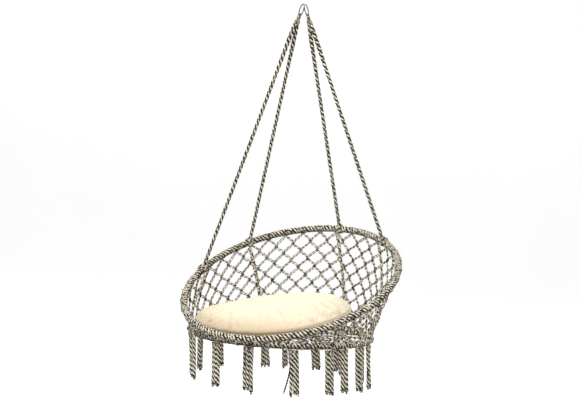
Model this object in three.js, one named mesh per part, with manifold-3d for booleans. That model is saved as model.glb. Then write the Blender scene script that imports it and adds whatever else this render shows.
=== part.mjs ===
// Knotted hanging chair: two steel hoops covered in cord, a diamond net between them, a woven seat,
// four ropes on two steel rings, a round cushion, and tassels round the seat.
// Millimetres, +Z up. The origin is where the hook bears inside the tops of the two rings,
// the chair's front faces -Y and everything hangs below.
import * as THREE from 'three';
import { mergeVertices } from 'three/addons/utils/BufferGeometryUtils.js';
import Module from 'manifold-3d';

// Driving dimensions
const GAP = 0.4; // between pieces that touch
const LARGE_RADIUS = 400; // centre line of the large hoop's tube
const LARGE_CENTRE = new THREE.Vector3(10, -25, -1011);
const LARGE_TILT = 27.2; // degrees off level
const LARGE_LOW_SIDE = 30.5; // degrees from the front towards the left, where the hoop is lowest
const SEAT_RADIUS = 331;
const SEAT_CENTRE = new THREE.Vector3(-16, 1, -1210);
const TUBE_RADIUS = 8;
const TUBE_WALL = 1.2;
const TUBE_BUTT_GAP = 0.2; // degrees left open where the bent tube's ends meet
const SHEATH_RADIUS = 13;
const HOOP_STEPS = 36;

const RING_RADIUS = 22; // centre line of the ring's wire
const WIRE_RADIUS = 2;
const RING_LEAN = 17; // degrees, each ring leaning out with its ropes
const RING_YAW = 16; // degrees, both rings turned the same way on the hook
const RING_TOP_X = 2.6; // half the distance between the two wires on the hook
const LINK_RADIUS = 11; // rope loop through a ring, centre line
const LINK_ROPE_RADIUS = 3.8;
const LINK_STRETCH = 1.3;
const LINK_DROP = 5.4; // the loop's centre below the ring's wire
const NECK_RADIUS = 11;
const NECK_TOP = 15; // whipping round both ropes, measured below the wire
const NECK_BOTTOM = 40;

const ROPE_RADIUS = 7;
const ROPE_ANGLES = { front_left: -61, back_left: -26.5, back_right: 26.5, front_right: 60 };
const SINNET_ENDS = { front_left: -100, back_left: -14, back_right: 48, front_right: 107 };
const SINNET_RADIUS = 6;
const SINNET_CLEARANCE = 4; // between a sinnet and the inside of the net
const HITCH_RADIUS = 18.5; // knotted collar round a hoop
const HITCH_LENGTH = 22;
const HITCH_CLEARANCE = 2.4; // the straight collar over the curved sheath

const NET_PANELS = 9;
const NET_COLUMNS = 36; // diamonds round the hoops
const NET_ROW = 66; // height of one diamond
const NET_THICKNESS = 5;
const STRAND_WIDTH = 8; // two cords side by side
const NET_EDGE = 5; // width of the knotted edge along each hoop
const NET_CLEARANCE = 2.2; // between the net and each sheath
const NET_SIDE = 2.5; // and along each panel's sides
const NET_SCALLOP = 0.5;
const NET_SLANT = 0.01; // cut holes end on slightly slanted edges, so that no two edges line up
const PANEL_POINTS = 8; // along each edge of a panel
const NET_FACET = 50; // longest edge of the flat net before it is bent round the hoops

const WEAVE_COLUMNS = 18; // diamonds round the seat
const WEAVE_ROWS = 5; // half diamonds from the hub to the hoop
const WEAVE_HUB_RADIUS = 46;
const WEAVE_STRAND = 9;

const CUSHION_RADIUS = 286;
const CUSHION_CENTRE = new THREE.Vector3(-42, -7, -1127);
const CUSHION_LEAN = 4; // degrees, right side up
const CUSHION_TOP = 68;
const CUSHION_BOTTOM = 79;
const CUSHION_SEGMENTS = 20;
const CUSHION_EDGE = 5; // half thickness at the seam
const COVER_THICKNESS = 2;

const TASSEL_ANGLES = [2, 23, 40, 68, 102, 120, 134.8, 147, 170, 198.5, 222, 252, 270, 292, 314, 337, 347.5];
const TASSEL_LENGTH = 157;
const TASSEL_GAP = 1;

const DEGREES = Math.PI / 180;

const wasm = await Module();
wasm.setup();

const steel = new THREE.MeshStandardMaterial({ color: 0x9a9da1, roughness: 0.3, metalness: 1 });
const tubeSteel = new THREE.MeshStandardMaterial({ color: 0x6b6e70, roughness: 0.45, metalness: 1 });
const cord = new THREE.MeshStandardMaterial({ color: 0x857b66, roughness: 0.95, metalness: 0 });
const darkCord = new THREE.MeshStandardMaterial({ color: 0x5b523f, roughness: 0.95, metalness: 0 });
const cotton = new THREE.MeshStandardMaterial({ color: 0xe9dfc6, roughness: 0.9, metalness: 0 });
const wadding = new THREE.MeshStandardMaterial({ color: 0xf6f5f0, roughness: 1, metalness: 0 });

// Hoops: angles are in degrees, 0 at the back, growing towards the right (+X)
function makeHoop(radius, centre, tilt, lowSide) {
  const normal = new THREE.Vector3(
    -Math.sin(tilt * DEGREES) * Math.sin(lowSide * DEGREES),
    -Math.sin(tilt * DEGREES) * Math.cos(lowSide * DEGREES),
    Math.cos(tilt * DEGREES),
  );
  const right = new THREE.Vector3(1, 0, 0).addScaledVector(normal, -normal.x).normalize();
  const back = new THREE.Vector3().crossVectors(normal, right);
  return { radius, centre, normal, right, back };
}

const largeHoop = makeHoop(LARGE_RADIUS, LARGE_CENTRE, LARGE_TILT, LARGE_LOW_SIDE);
const seatHoop = makeHoop(SEAT_RADIUS, SEAT_CENTRE, 0, 0);

function radial(hoop, angle) {
  const a = angle * DEGREES;
  return hoop.right.clone().multiplyScalar(Math.sin(a)).addScaledVector(hoop.back, Math.cos(a));
}

function tangent(hoop, angle) {
  return radial(hoop, angle + 90);
}

function hoopPoint(hoop, angle) {
  return radial(hoop, angle).multiplyScalar(hoop.radius).add(hoop.centre);
}

class HoopArc extends THREE.Curve {
  constructor(hoop, from, to) {
    super();
    this.hoop = hoop;
    this.from = from;
    this.to = to;
  }

  getPoint(t, target = new THREE.Vector3()) {
    return target.copy(hoopPoint(this.hoop, this.from + (this.to - this.from) * t));
  }
}

// Shapes and solids
function polygonPoints(radius, sides, clockwise = false) {
  const points = [];
  for (let i = 0; i < sides; i += 1) {
    const a = ((clockwise ? -i : i) * 2 * Math.PI) / sides;
    points.push(new THREE.Vector2(radius * Math.cos(a), radius * Math.sin(a)));
  }
  return points;
}

function tubeShape(outer, outerSides, inner = 0, innerSides = 8) {
  const shape = new THREE.Shape(polygonPoints(outer, outerSides));
  if (inner > 0) shape.holes.push(new THREE.Path(polygonPoints(inner, innerSides, true)));
  return shape;
}

function sweep(shape, path, steps) {
  return new THREE.ExtrudeGeometry(shape, { steps, extrudePath: path, bevelEnabled: false });
}

function toSolid(geometry) {
  const bare = geometry.clone();
  bare.deleteAttribute('normal');
  bare.deleteAttribute('uv');
  const merged = mergeVertices(bare, 1e-4);
  const vertProperties = new Float32Array(merged.attributes.position.array);
  const triVerts = new Uint32Array(merged.index.array);
  return new wasm.Manifold(new wasm.Mesh({ numProp: 3, vertProperties, triVerts }));
}

function toGeometry(solid) {
  const mesh = solid.getMesh();
  const geometry = new THREE.BufferGeometry();
  geometry.setAttribute('position', new THREE.BufferAttribute(mesh.vertProperties, 3));
  geometry.setIndex(new THREE.BufferAttribute(mesh.triVerts, 1));
  geometry.computeVertexNormals();
  return geometry;
}

function addMesh(parent, name, geometry, material) {
  const mesh = new THREE.Mesh(geometry, material);
  mesh.name = name;
  parent.add(mesh);
  return mesh;
}

// A turned frame whose local Z is `up` and whose local Y is as near `towards` as that allows
function frameAlong(up, towards) {
  const z = up.clone().normalize();
  const y = towards.clone().addScaledVector(z, -towards.dot(z)).normalize();
  return new THREE.Matrix4().makeBasis(new THREE.Vector3().crossVectors(y, z), y, z);
}

// Bent steel tube, its ends butted together, and the sheath of half hitches tied round it
function addHoop(parent, name, hoop) {
  const path = new HoopArc(hoop, 0, 360 - TUBE_BUTT_GAP);
  const tube = tubeShape(TUBE_RADIUS, 8, TUBE_RADIUS - TUBE_WALL, 6);
  const sheath = tubeShape(SHEATH_RADIUS, 9, TUBE_RADIUS + GAP);
  addMesh(parent, `${name}_tube`, sweep(tube, path, HOOP_STEPS), tubeSteel);
  addMesh(parent, `${name}_sheath`, sweep(sheath, path, HOOP_STEPS), cord);
}

// Hanging rings and the rope loops on them
function ringFrame(side) {
  const lean = RING_LEAN * DEGREES;
  const down = new THREE.Vector3(side * Math.sin(lean), 0, -Math.cos(lean));
  const along = new THREE.Vector3(0, 1, 0).applyAxisAngle(down, RING_YAW * DEGREES);
  const top = new THREE.Vector3(side * RING_TOP_X, 0, WIRE_RADIUS);
  const centre = top.clone().addScaledVector(down, RING_RADIUS);
  const bottom = top.clone().addScaledVector(down, 2 * RING_RADIUS);
  return { down, along, centre, bottom };
}

function addRing(parent, name, side) {
  const ring = ringFrame(side);
  const mesh = addMesh(parent, name, new THREE.TorusGeometry(RING_RADIUS, WIRE_RADIUS, 6, 24), steel);
  const normal = new THREE.Vector3().crossVectors(ring.down, ring.along);
  mesh.quaternion.setFromRotationMatrix(new THREE.Matrix4().makeBasis(ring.along, ring.down, normal.negate()));
  mesh.position.copy(ring.centre);
}

function neckEnd(side) {
  const ring = ringFrame(side);
  return ring.bottom.clone().addScaledVector(ring.down, NECK_BOTTOM);
}

// The loop and the whipping below it are one piece; local Z points up along the ring's lean
function addRopeHead(parent, name, side) {
  const ring = ringFrame(side);
  const loop = new THREE.TorusGeometry(LINK_RADIUS, LINK_ROPE_RADIUS, 6, 16);
  loop.rotateX(90 * DEGREES);
  loop.scale(1, 1, LINK_STRETCH);
  loop.translate(0, 0, -LINK_DROP);
  const neck = new THREE.CylinderGeometry(NECK_RADIUS * 0.8, NECK_RADIUS, NECK_BOTTOM - NECK_TOP, 12);
  neck.rotateX(90 * DEGREES);
  neck.scale(1.25, 0.95, 1);
  neck.translate(0, 0, -(NECK_TOP + NECK_BOTTOM) / 2);
  const head = toSolid(loop).add(toSolid(neck));
  const mesh = addMesh(parent, name, toGeometry(head), cord);
  mesh.quaternion.setFromRotationMatrix(frameAlong(ring.down.clone().negate(), ring.along));
  mesh.position.copy(ring.bottom);
}

// How far from a hoop's centre line a rope's flat end stops to clear the collar it meets at an angle
function standOff(hoop, angle, along, radius) {
  const lean = Math.abs(tangent(hoop, angle).dot(along));
  return (HITCH_RADIUS + GAP + radius * lean) / Math.sqrt(1 - lean * lean);
}

// One straight rope from under the whipping to the collar on the large hoop
function addRope(parent, place, side, offset) {
  const top = neckEnd(side).addScaledVector(ringFrame(side).down, GAP + 1.5);
  top.addScaledVector(offset, ROPE_RADIUS + GAP);
  const foot = hoopPoint(largeHoop, ROPE_ANGLES[place]);
  const along = foot.clone().sub(top).normalize();
  foot.addScaledVector(along, -standOff(largeHoop, ROPE_ANGLES[place], along, ROPE_RADIUS));
  addMesh(parent, `rope_${place}`, sweep(tubeShape(ROPE_RADIUS, 8), new THREE.LineCurve3(top, foot), 2), cord);
}

function addRopePair(parent, side, word) {
  const front = hoopPoint(largeHoop, ROPE_ANGLES[`front_${word}`]);
  const back = hoopPoint(largeHoop, ROPE_ANGLES[`back_${word}`]);
  const apart = back.sub(front);
  apart.addScaledVector(ringFrame(side).down, -apart.dot(ringFrame(side).down)).normalize();
  addRope(parent, `front_${word}`, side, apart.clone().negate());
  addRope(parent, `back_${word}`, side, apart);
}

// A collar of knotted cord round a hoop. With `room` it is the space that its neighbours leave free.
function hitchSolid(angle, room = 0) {
  const half = tangent(largeHoop, angle).multiplyScalar(HITCH_LENGTH / 2 + room);
  const middle = hoopPoint(largeHoop, angle);
  const path = new THREE.LineCurve3(middle.clone().sub(half), middle.clone().add(half));
  const bore = room > 0 ? 0 : SHEATH_RADIUS + HITCH_CLEARANCE;
  return sweep(tubeShape(HITCH_RADIUS + room, 10, bore, 10), path, 1);
}

// The net is stretched straight between the hoops. At each angle it starts and ends where its
// line meets the sheaths.
function netLine(angle) {
  const from = hoopPoint(largeHoop, angle);
  const along = hoopPoint(seatHoop, angle).sub(from);
  const reach = along.length();
  along.normalize();
  const slope = (hoop) => Math.sqrt(1 - tangent(hoop, angle).dot(along) ** 2);
  const start = (SHEATH_RADIUS + NET_CLEARANCE) / slope(largeHoop);
  const end = reach - (SHEATH_RADIUS + NET_CLEARANCE) / slope(seatHoop);
  return { from, along, start, height: end - start };
}

function netPoint(angle, down, outward) {
  const line = netLine(angle);
  const out = new THREE.Vector3().crossVectors(line.along, tangent(largeHoop, angle)).normalize();
  if (out.dot(radial(largeHoop, angle)) < 0) out.negate();
  return line.from.addScaledVector(line.along, line.start + down).addScaledVector(out, outward);
}

// Keeps the part of a convex polygon where `inside` (a linear function) is positive
function clip(polygon, inside) {
  const kept = [];
  polygon.forEach((p, i) => {
    const q = polygon[(i + 1) % polygon.length];
    const a = inside(p);
    const b = inside(q);
    if (a >= 0) kept.push(p);
    if (a * b < 0) kept.push(p.clone().lerp(q, a / (a - b)));
  });
  return kept;
}

// A diamond mesh of the net, pulled a little out of square by its knots
function diamond(x, y, halfWidth, halfHeight) {
  const pull = NET_SLANT * halfWidth;
  return [
    new THREE.Vector2(x - halfWidth, y),
    new THREE.Vector2(x - pull, y - halfHeight),
    new THREE.Vector2(x + halfWidth, y + pull),
    new THREE.Vector2(x + pull / 2, y + halfHeight),
  ];
}

const HALF_COLUMN = 180 / NET_COLUMNS;
const MM_PER_DEGREE = LARGE_RADIUS * DEGREES;

function netHoles(from, to) {
  const halfWidth = HALF_COLUMN * MM_PER_DEGREE;
  const shrink = 1 - STRAND_WIDTH / 2 / ((halfWidth * NET_ROW) / 2 / Math.hypot(halfWidth, NET_ROW / 2));
  const holes = [];
  for (let column = Math.round(from / HALF_COLUMN); column * HALF_COLUMN <= to; column += 1) {
    const angle = column * HALF_COLUMN;
    const x = angle * MM_PER_DEGREE;
    const foot = netLine(angle).height - NET_EDGE;
    const change = netLine(angle + HALF_COLUMN).height - netLine(angle - HALF_COLUMN).height;
    const slope = change / 2 / halfWidth;
    for (let row = column % 2 === 0 ? 0 : 1; (row * NET_ROW) / 2 < foot + NET_ROW; row += 2) {
      const y = (row * NET_ROW) / 2;
      let hole = diamond(x, y, halfWidth * shrink, (NET_ROW / 2) * shrink);
      hole = clip(hole, (p) => p.y - NET_EDGE - NET_SLANT * (p.x - x));
      hole = clip(hole, (p) => foot + slope * (p.x - x) - p.y);
      hole = clip(hole, (p) => p.x - from * MM_PER_DEGREE - NET_SIDE - NET_SLANT * (p.y - y));
      hole = clip(hole, (p) => to * MM_PER_DEGREE - NET_SIDE - NET_SLANT * (p.y - y) - p.x);
      if (hole.length > 2 && Math.abs(THREE.ShapeUtils.area(hole)) > 120) holes.push(hole);
    }
  }
  return holes;
}

// The panel's outline follows the hoops, drawn in a little between one knot and the next
function netPanel(from, to) {
  const start = from + 0.06;
  const end = to - 0.06;
  const top = [];
  const foot = [];
  for (let i = 0; i <= PANEL_POINTS; i += 1) {
    const angle = start + ((end - start) * i) / PANEL_POINTS;
    const drawn = i % 2 === 0 ? 0 : NET_SCALLOP;
    top.push(new THREE.Vector2(angle * MM_PER_DEGREE, drawn));
    foot.unshift(new THREE.Vector2(angle * MM_PER_DEGREE, netLine(angle).height - drawn));
  }
  const shape = new THREE.Shape([...top, ...foot]);
  shape.holes = netHoles(from, to).map((points) => new THREE.Path(points.reverse()));
  return new THREE.ExtrudeGeometry(shape, { depth: NET_THICKNESS, steps: 1, bevelEnabled: false });
}

// Cut flat, split into facets short enough to bend, then bent into the surface between the hoops
function addNetPanel(parent, index) {
  const width = 360 / NET_PANELS;
  const flat = toSolid(netPanel(index * width, (index + 1) * width)).refineToLength(NET_FACET);
  let panel = flat.warp((vertex) => {
    const point = netPoint(vertex[0] / MM_PER_DEGREE, vertex[1], vertex[2] - NET_THICKNESS / 2);
    [vertex[0], vertex[1], vertex[2]] = [point.x, point.y, point.z];
  });
  for (const angle of Object.values(ROPE_ANGLES)) panel = panel.subtract(toSolid(hitchSolid(angle, GAP)));
  addMesh(parent, `net_panel_${index + 1}`, toGeometry(panel), cord);
}

// Thick sinnets run down the inside of the net from the ropes' collars to the seat hoop
function addSinnet(parent, place) {
  const from = ROPE_ANGLES[place];
  const to = SINNET_ENDS[place];
  const inward = -(NET_THICKNESS / 2 + SINNET_RADIUS + SINNET_CLEARANCE);
  const points = [];
  for (const share of [0, 0.35, 0.7, 1]) {
    const angle = from + (to - from) * share;
    const start = HITCH_RADIUS - SHEATH_RADIUS + 6;
    points.push(netPoint(angle, start + (netLine(angle).height - 2 * start) * share, inward));
  }
  addMesh(parent, `sinnet_${place}`, sweep(tubeShape(SINNET_RADIUS, 8), new THREE.CatmullRomCurve3(points), 8), cord);
}

// Flat woven seat inside the seat hoop, knotted to a hub in the middle
function polar(radius, angle) {
  return new THREE.Vector2(radius * Math.sin(angle * DEGREES), radius * Math.cos(angle * DEGREES));
}

function weaveHole(angle, inner, outer) {
  const half = 180 / WEAVE_COLUMNS;
  const middle = (inner + outer) / 2;
  const side = half - WEAVE_STRAND / middle / DEGREES / 2;
  const lift = WEAVE_STRAND * 0.75;
  return [
    polar(inner + lift, angle),
    polar(middle, angle + side),
    polar(outer - lift, angle),
    polar(middle, angle - side),
  ];
}

function addSeatWeave(parent) {
  const rim = SEAT_RADIUS * Math.cos(Math.PI / HOOP_STEPS) - SHEATH_RADIUS - GAP - 0.6;
  const shape = new THREE.Shape(polygonPoints(rim, HOOP_STEPS));
  const step = (rim - WEAVE_HUB_RADIUS - WEAVE_STRAND) / (WEAVE_ROWS + 1);
  for (let row = 0; row < WEAVE_ROWS; row += 1) {
    const inner = WEAVE_HUB_RADIUS + row * step;
    for (let column = 0; column < WEAVE_COLUMNS; column += 1) {
      const angle = ((column + (row % 2) / 2) * 360) / WEAVE_COLUMNS;
      shape.holes.push(new THREE.Path(weaveHole(angle, inner, inner + 2 * step)));
    }
  }
  const geometry = new THREE.ExtrudeGeometry(shape, { depth: NET_THICKNESS, steps: 1, bevelEnabled: false });
  geometry.translate(0, 0, -NET_THICKNESS / 2);
  addMesh(parent, 'seat_weave', geometry, cord).position.copy(SEAT_CENTRE);
}

// Round cushion: two domed cover panels meeting at an edge seam, and the filling inside
function domeHeight(radius, height) {
  const share = Math.min(radius / CUSHION_RADIUS, 1);
  return CUSHION_EDGE + (height - CUSHION_EDGE) * (1 - share ** 2.4) ** 0.8;
}

function domeProfile(height, inset) {
  const points = [];
  for (const share of [0, 0.4, 0.7, 0.9, 1]) {
    const radius = (CUSHION_RADIUS - inset) * share;
    points.push(new THREE.Vector2(radius, Math.max(domeHeight(radius, height) - inset, GAP / 2)));
  }
  return points;
}

function coverPanel(height) {
  const outside = domeProfile(height, 0);
  const inside = domeProfile(height, COVER_THICKNESS).reverse();
  const seam = [new THREE.Vector2(CUSHION_RADIUS, GAP / 2), new THREE.Vector2(CUSHION_RADIUS - COVER_THICKNESS, GAP / 2)];
  return new THREE.LatheGeometry([...outside, ...seam, ...inside].reverse(), CUSHION_SEGMENTS);
}

function fillingSolid() {
  const inset = COVER_THICKNESS + GAP + 0.6;
  const upper = domeProfile(CUSHION_TOP, inset);
  const lower = domeProfile(CUSHION_BOTTOM, inset).map((p) => new THREE.Vector2(p.x, -p.y));
  return new THREE.LatheGeometry([...lower, ...upper.reverse()], CUSHION_SEGMENTS);
}

function addCushion(parent) {
  const cushion = new THREE.Group();
  cushion.position.copy(CUSHION_CENTRE);
  cushion.rotation.y = -CUSHION_LEAN * DEGREES;
  parent.add(cushion);
  const top = coverPanel(CUSHION_TOP).rotateX(90 * DEGREES);
  const bottom = coverPanel(CUSHION_BOTTOM).rotateX(-90 * DEGREES);
  addMesh(cushion, 'cushion_cover_top', top, cotton);
  addMesh(cushion, 'cushion_cover_bottom', bottom, cotton);
  addMesh(cushion, 'cushion_filling', fillingSolid().rotateX(90 * DEGREES), wadding);
}

// A tassel is a bundle of cord ends below a gathering knot
function tasselSolid() {
  const profile = [[0, 0], [9, 0], [12, 14], [9, 26], [17, TASSEL_LENGTH], [0, TASSEL_LENGTH]];
  const points = profile.map(([radius, down]) => new THREE.Vector2(radius, -down)).reverse();
  const geometry = new THREE.LatheGeometry(points, 7);
  geometry.rotateX(90 * DEGREES);
  geometry.scale(1, 0.62, 1);
  return geometry;
}

function addTassel(parent, index, angle) {
  const mesh = addMesh(parent, `tassel_${String(index + 1).padStart(2, '0')}`, tasselSolid(), darkCord);
  mesh.position.copy(hoopPoint(seatHoop, angle));
  mesh.position.z -= SHEATH_RADIUS + TASSEL_GAP;
  mesh.rotation.z = -angle * DEGREES;
}

function makeChair() {
  const chair = new THREE.Group();
  addRing(chair, 'steel_ring_left', -1);
  addRing(chair, 'steel_ring_right', 1);
  addRopeHead(chair, 'rope_head_left', -1);
  addRopeHead(chair, 'rope_head_right', 1);
  addRopePair(chair, -1, 'left');
  addRopePair(chair, 1, 'right');
  addHoop(chair, 'large_hoop', largeHoop);
  addHoop(chair, 'seat_hoop', seatHoop);
  for (const place of Object.keys(ROPE_ANGLES)) {
    addMesh(chair, `rope_hitch_${place}`, hitchSolid(ROPE_ANGLES[place]), darkCord);
    addSinnet(chair, place);
  }
  for (let index = 0; index < NET_PANELS; index += 1) addNetPanel(chair, index);
  addSeatWeave(chair);
  addCushion(chair);
  TASSEL_ANGLES.forEach((angle, index) => addTassel(chair, index, angle));
  return chair;
}

export default makeChair();
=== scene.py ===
"""Looks of the knotted hanging chair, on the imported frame: its ropes, net, wraps, tassels and cushion.

Metres, +Z up. The origin is where a hook bears inside the tops of the two steel rings.
Angles round a hoop are in degrees, 0 at the back and growing towards +X.
"""

import math
import random

import bpy
import numpy as np
from mathutils import Matrix, Vector


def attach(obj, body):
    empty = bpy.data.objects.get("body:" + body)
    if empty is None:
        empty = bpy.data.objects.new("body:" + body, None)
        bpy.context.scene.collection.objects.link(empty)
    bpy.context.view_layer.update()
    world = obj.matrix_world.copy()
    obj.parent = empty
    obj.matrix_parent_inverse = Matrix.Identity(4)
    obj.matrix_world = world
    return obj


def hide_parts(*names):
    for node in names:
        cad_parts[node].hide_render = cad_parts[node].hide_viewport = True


# Hoops, net and knots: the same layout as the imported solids
TUBE_WRAP_RADIUS = 0.013
WRAP_STRAND = 0.0029  # radius of one cord of a hoop's wrap
WRAP_STRANDS = 6
LARGE_RADIUS = 0.400
LARGE_CENTRE = (0.010, -0.025, -1.011)
LARGE_TILT = 27.2
LARGE_LOW_SIDE = 30.5
SEAT_RADIUS = 0.331
SEAT_CENTRE = (-0.016, 0.001, -1.210)

ROPE_ANGLES = {"front_left": -61, "back_left": -26.5, "back_right": 26.5, "front_right": 60}
SINNET_ENDS = {"front_left": -100, "back_left": -14, "back_right": 48, "front_right": 107}
ROPE_PLY = 0.0031
ROPE_LAY = 0.0041  # a ply's centre line, from the rope's
ROPE_PITCH = 0.043
HITCH_LAYER = 0.0158  # centre line of the cord turns of a rope's knot, from the hoop's centre line
HITCH_RADIUS = 0.0185
GAP = 0.0004

RING_RADIUS = 0.022
WIRE_RADIUS = 0.002
RING_LEAN = 17
RING_YAW = 16
RING_TOP_X = 0.0026
NECK_TOP = 0.015
NECK_BOTTOM = 0.040

HALF_COLUMN = 5.0  # degrees between neighbouring knots round the net
HALF_ROW = 0.033
NET_MARGIN = 0.0152
NET_CORD = 0.0020
NET_PANELS = 9
SINNET_INSIDE = -0.0120

WEAVE_COLUMNS = 18
WEAVE_ROWS = 5
WEAVE_HUB = 0.046

CUSHION_RADIUS = 0.291
CUSHION_CENTRE = (-0.047, -0.007, -1.136)
CUSHION_LEAN = 6.4
CUSHION_DROOP = 0.036  # how far the front edge hangs, where it is sat on
CUSHION_SKEW = 0.45  # the filling has moved towards the right
CUSHION_TOP = 0.043  # heights of the two domes before they are blown up
CUSHION_BOTTOM = 0.048
CUSHION_EDGE = 0.005
PUFF_LIMIT = 0.013
PUCKERS = ((0.012, 0.03), (0.1, 0.35), (0.0008, 0.0022))
LONG_FOLDS = ((0.03, 0.075), (0.35, 0.8), (0.0025, 0.0055))

TASSEL_ANGLES = [2, 23, 40, 68, 102, 120, 134.8, 147, 170, 198.5]
TASSEL_ANGLES += [222, 252, 270, 292, 314, 337, 347.5]
TASSEL_LENGTH = 0.157
TASSEL_TOP = 0.014

CREAM = (0.77, 0.71, 0.57)
BLACK_BROWN = (0.008, 0.006, 0.003)

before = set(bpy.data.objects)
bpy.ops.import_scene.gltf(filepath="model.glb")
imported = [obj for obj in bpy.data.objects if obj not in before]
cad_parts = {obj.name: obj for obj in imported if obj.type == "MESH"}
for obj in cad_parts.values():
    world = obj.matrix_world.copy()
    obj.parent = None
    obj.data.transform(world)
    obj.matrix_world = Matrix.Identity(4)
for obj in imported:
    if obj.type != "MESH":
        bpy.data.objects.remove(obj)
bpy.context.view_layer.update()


# Camera, light and floor


def make_camera():
    azimuth, elevation, roll = (math.radians(x) for x in (1.1, 2.2, 3.4))
    level = math.cos(elevation)
    away = Vector((math.sin(azimuth) * level, -math.cos(azimuth) * level, math.sin(elevation)))
    right = Vector((math.cos(azimuth), math.sin(azimuth), 0))
    up = right.cross(-away)
    turned_right = right * math.cos(roll) + up * math.sin(roll)
    turned_up = up * math.cos(roll) - right * math.sin(roll)
    camera = bpy.data.cameras.new("camera")
    camera.sensor_width = 36
    camera.lens = 18 / math.tan(math.radians(11))
    holder = bpy.data.objects.new("camera", camera)
    bpy.context.scene.collection.objects.link(holder)
    place = Vector((-0.010, 0.001, -0.717)) + away * 5.49
    axes = Matrix((turned_right, turned_up, away)).transposed()
    holder.matrix_world = Matrix.Translation(place) @ axes.to_4x4()
    bpy.context.scene.camera = holder
    bpy.context.scene.view_settings.view_transform = "Standard"


def add_light(name, place, size, power, colour=(1, 1, 1)):
    light = bpy.data.lights.new(name, "AREA")
    light.shape = "DISK"
    light.size = size
    light.energy = power
    light.color = colour
    holder = bpy.data.objects.new(name, light)
    bpy.context.scene.collection.objects.link(holder)
    holder.location = place
    aim = Vector((0, 0, -1.05)) - Vector(place)
    holder.rotation_euler = aim.to_track_quat("-Z", "Y").to_euler()


def make_studio():
    add_light("key_light", (-1.2, -2.0, 2.4), 1.4, 110, (1, 0.985, 0.96))
    add_light("fill_light", (2.6, -3.0, 0.4), 2.4, 16)
    add_light("top_light", (0.3, 0.6, 2.4), 1.8, 60)
    world = bpy.data.worlds.new("studio")
    bpy.context.scene.world = world
    world.use_nodes = True
    sky = world.node_tree.nodes["Background"]
    sky.inputs["Color"].default_value = (1, 1, 1, 1)
    sky.inputs["Strength"].default_value = 0.62


def sweep_profile():
    """Floor that rises in one smooth curve into the backdrop, as (y, z) points."""
    floor, bend, back = -1.75, 1.8, 8.6
    points = [(-16.0, floor), (-3.0, floor), (0.0, floor), (back - bend, floor)]
    for i in range(1, 13):
        turn = math.radians(90 * i / 12)
        points.append((back - bend + bend * math.sin(turn), floor + bend - bend * math.cos(turn)))
    return points + [(back, 6.5)]


def make_backdrop(material):
    points, faces = [], []
    for y, z in sweep_profile():
        points += [(-14, y, z), (14, y, z)]
    for i in range(len(points) // 2 - 1):
        faces.append((2 * i, 2 * i + 1, 2 * i + 3, 2 * i + 2))
    mesh = bpy.data.meshes.new("backdrop")
    mesh.from_pydata(points, [], faces)
    mesh.shade_smooth()
    mesh.materials.append(material)
    sheet = bpy.data.objects.new("backdrop", mesh)
    bpy.context.scene.collection.objects.link(sheet)


# Materials


def node(tree, kind, inputs=None, **settings):
    made = tree.nodes.new(kind)
    for name, value in settings.items():
        setattr(made, name, value)
    for name, value in (inputs or {}).items():
        if isinstance(value, bpy.types.NodeSocket):
            tree.links.new(value, made.inputs[name])
        else:
            made.inputs[name].default_value = value
    return made


def maths(tree, operation, a, b=0.0, c=0.0):
    return node(tree, "ShaderNodeMath", {0: a, 1: b, 2: c}, operation=operation).outputs[0]


def blend_colour(tree, share, a, b, mode="MIX"):
    mixed = node(tree, "ShaderNodeMix", {0: share, 6: a, 7: b}, data_type="RGBA", blend_type=mode)
    return mixed.outputs[2]


def ramp(tree, value, low, high, top=1.0, kind="LINEAR"):
    """0 where the value is `low`, and `top` where it is `high`."""
    inputs = {"Value": value, "From Min": low, "From Max": high, "To Max": top}
    return node(tree, "ShaderNodeMapRange", inputs, interpolation_type=kind).outputs[0]


def grey(tree, value):
    return node(tree, "ShaderNodeCombineColor", {0: value, 1: value, 2: value}).outputs[0]


def new_group(name, sockets_in, sockets_out):
    tree = bpy.data.node_groups.new(name, "ShaderNodeTree")
    for socket, kind, value in sockets_in:
        made = tree.interface.new_socket(socket, in_out="INPUT", socket_type=kind)
        made.default_value = value
    for socket, kind in sockets_out:
        tree.interface.new_socket(socket, in_out="OUTPUT", socket_type=kind)
    return tree, tree.nodes.new("NodeGroupInput"), tree.nodes.new("NodeGroupOutput")


def spots(tree, scale, detail=2.0, distortion=0.0):
    place = node(tree, "ShaderNodeTexCoord").outputs["Object"]
    inputs = {"Vector": place, "Scale": scale, "Detail": detail, "Distortion": distortion}
    return node(tree, "ShaderNodeTexNoise", inputs).outputs["Fac"]


def yarn_mask(tree, entry, turns, lay):
    """0 on dark yarn and 1 on cream, with patches where one of them shows more."""
    wander = maths(tree, "MULTIPLY", maths(tree, "SUBTRACT", spots(tree, 90), 0.5), 0.6)
    phase = maths(tree, "ADD", maths(tree, "ADD", turns, lay), wander)
    wave = maths(tree, "SINE", maths(tree, "MULTIPLY", phase, math.tau))
    patches = maths(tree, "SUBTRACT", spots(tree, 70), 0.5)
    mixed = maths(tree, "MULTIPLY_ADD", patches, entry.outputs["Patchiness"], wave)
    yarn = node(tree, "ShaderNodeAttribute", attribute_name="yarn").outputs["Fac"]
    mixed = maths(tree, "MULTIPLY_ADD", maths(tree, "SUBTRACT", yarn, 0.5), 3.2, mixed)
    level = maths(tree, "MULTIPLY_ADD", entry.outputs["Dark share"], 2.0, -1.0)
    low, high = maths(tree, "SUBTRACT", level, 0.2), maths(tree, "ADD", level, 0.2)
    return ramp(tree, mixed, low, high, kind="SMOOTHSTEP")


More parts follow.
